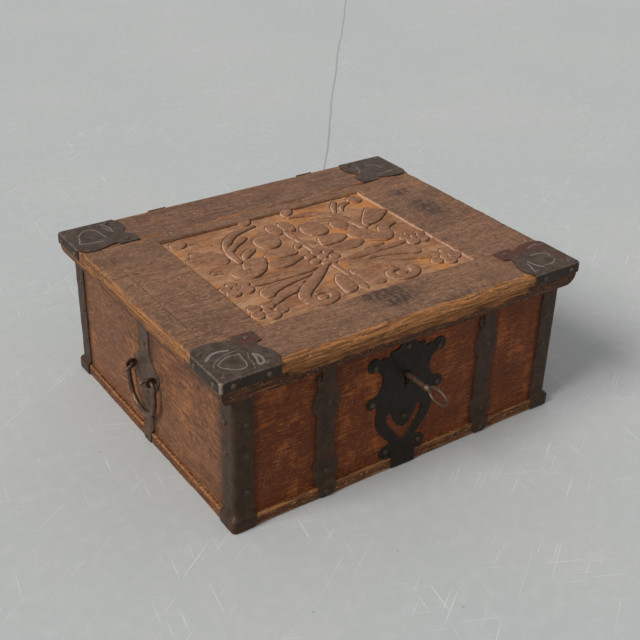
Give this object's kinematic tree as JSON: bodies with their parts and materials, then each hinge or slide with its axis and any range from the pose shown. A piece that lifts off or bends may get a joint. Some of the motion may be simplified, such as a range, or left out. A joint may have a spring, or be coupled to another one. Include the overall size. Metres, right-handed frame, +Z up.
{
  "type": "small wooden chest",
  "caption": "Low oblong wooden chest with iron corners and straps, a pierced lock plate with its key, drop handles and a hinged lid with a sunk, carved field",
  "frame": {"origin": "centre of the box in plan, on the floor that the base board rests on", "axes": "+X to the right along the front, +Y to the back, +Z up; the front with the lock faces -Y"},
  "size_m": [0.4324, 0.4089, 0.1781],
  "materials": {
    "body_wood": "old waxed oak, dark brown with worn orange patches",
    "lid_wood": "old dry oak, grey-brown, worn lighter in the carving and along the edges",
    "dark_iron": "blackened wrought sheet iron, matt, lightly rusted",
    "lid_iron": "engraved wrought sheet iron, grey-brown with red-brown rust",
    "worn_iron": "forged iron, dark, rubbed bright where handled"
  },
  "bodies": {
    "chest": {"base_board": "body_wood", "front_board": "body_wood", "back_board": "body_wood", "left_board": "body_wood", "right_board": "body_wood", "corner_iron_front_left": "dark_iron", "corner_iron_front_right": "dark_iron", "corner_iron_back_left": "dark_iron", "corner_iron_back_right": "dark_iron", "front_strap_left": "dark_iron", "front_strap_right": "dark_iron", "side_strap_left": "dark_iron", "side_strap_right": "dark_iron", "hinge_strap_left": "dark_iron", "hinge_strap_right": "dark_iron", "hinge_pin_left": "worn_iron", "hinge_pin_right": "worn_iron", "lock_plate": "dark_iron", "lock_case": "worn_iron", "bolt_spring": "worn_iron", "handle_eyes_left": "dark_iron", "handle_eyes_right": "dark_iron", "body_nails": "dark_iron", "board_nails": "dark_iron"},
    "lid": {"lid_board": "lid_wood", "lid_back_board": "lid_wood", "lid_moulding_front": "lid_wood", "lid_moulding_left": "lid_wood", "lid_moulding_right": "lid_wood", "lid_plate_front_left": "lid_iron", "lid_plate_front_right": "lid_iron", "lid_plate_back_left": "lid_iron", "lid_plate_back_right": "lid_iron", "hinge_leaf_left": "lid_iron", "hinge_leaf_right": "lid_iron", "lid_staple": "lid_iron", "lid_nails": "lid_iron"},
    "bolt": {"lock_bolt": "worn_iron"},
    "key": {"key": "worn_iron"},
    "left_handle": {"handle_left": "worn_iron"},
    "right_handle": {"handle_right": "worn_iron"}
  },
  "joints": [
    {"name": "lid_hinge", "type": "hinge", "parent": "chest", "child": "lid", "pos_m": [0, 0.1734, 0.16375], "axis": [-1, 0, 0], "range_deg": [0, 105]},
    {"name": "left_handle_swing", "type": "hinge", "parent": "chest", "child": "left_handle", "pos_m": [-0.2042, 0.0025, 0.0845], "axis": [0, 1, 0], "range_deg": [0, 120]},
    {"name": "right_handle_swing", "type": "hinge", "parent": "chest", "child": "right_handle", "pos_m": [0.2042, 0.0025, 0.0845], "axis": [0, -1, 0], "range_deg": [0, 120]},
    {"name": "key_turn", "type": "hinge", "parent": "chest", "child": "key", "pos_m": [-0.0025, -0.16, 0.1083], "axis": [0, 1, 0], "range_deg": [0, 360]},
    {"name": "bolt_slide", "type": "slide", "parent": "chest", "child": "bolt", "axis": [1, 0, 0], "range_m": [0, 0.012]}
  ],
  "couplings": [
    {"joint": "bolt_slide", "follows": "key_turn", "m_per_rad": 0.0019098}
  ]
}
